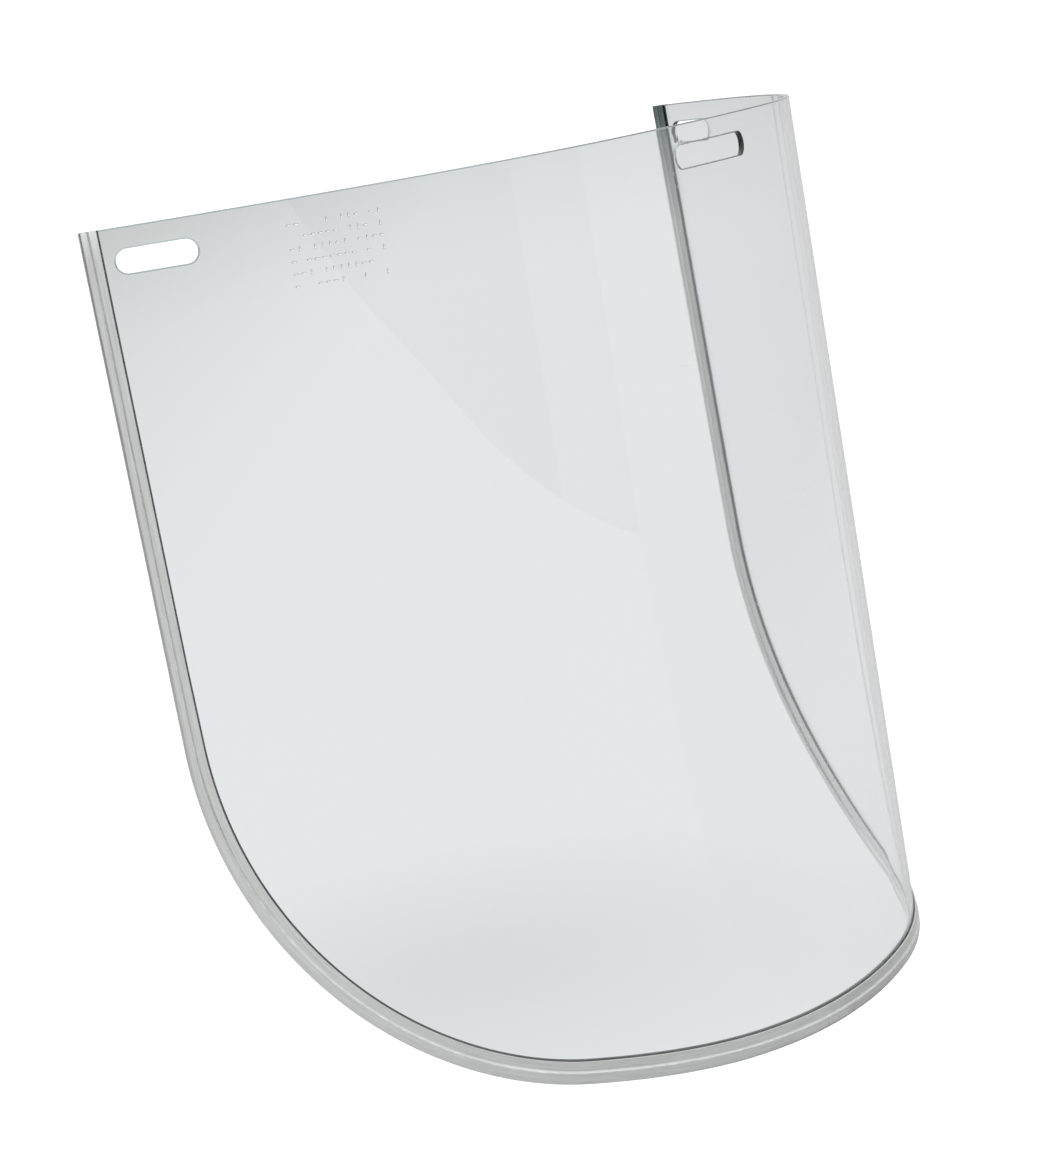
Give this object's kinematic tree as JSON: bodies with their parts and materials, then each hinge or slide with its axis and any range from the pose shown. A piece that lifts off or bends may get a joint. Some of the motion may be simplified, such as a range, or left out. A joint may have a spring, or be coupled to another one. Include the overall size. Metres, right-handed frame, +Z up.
{
  "type": "face shield window",
  "caption": "Clear curved face shield window with a folded aluminium edge binding and slots below its bare top edge for a headgear's studs.",
  "frame": {"origin": "centre of the middle slot, halfway through the sheet", "axes": "+X to the wearer's left, along the width; +Y from the outside towards the wearer; +Z up, square to the straight top edge"},
  "size_m": [0.3322, 0.0946, 0.24],
  "materials": {
    "clear_sheet": "clear polished polycarbonate sheet",
    "binding_strip": "mill-finish rolled strip, dull and lightly streaked"
  },
  "bodies": {
    "root": {"window": "clear_sheet", "edge_binding": "binding_strip"}
  },
  "joints": []
}
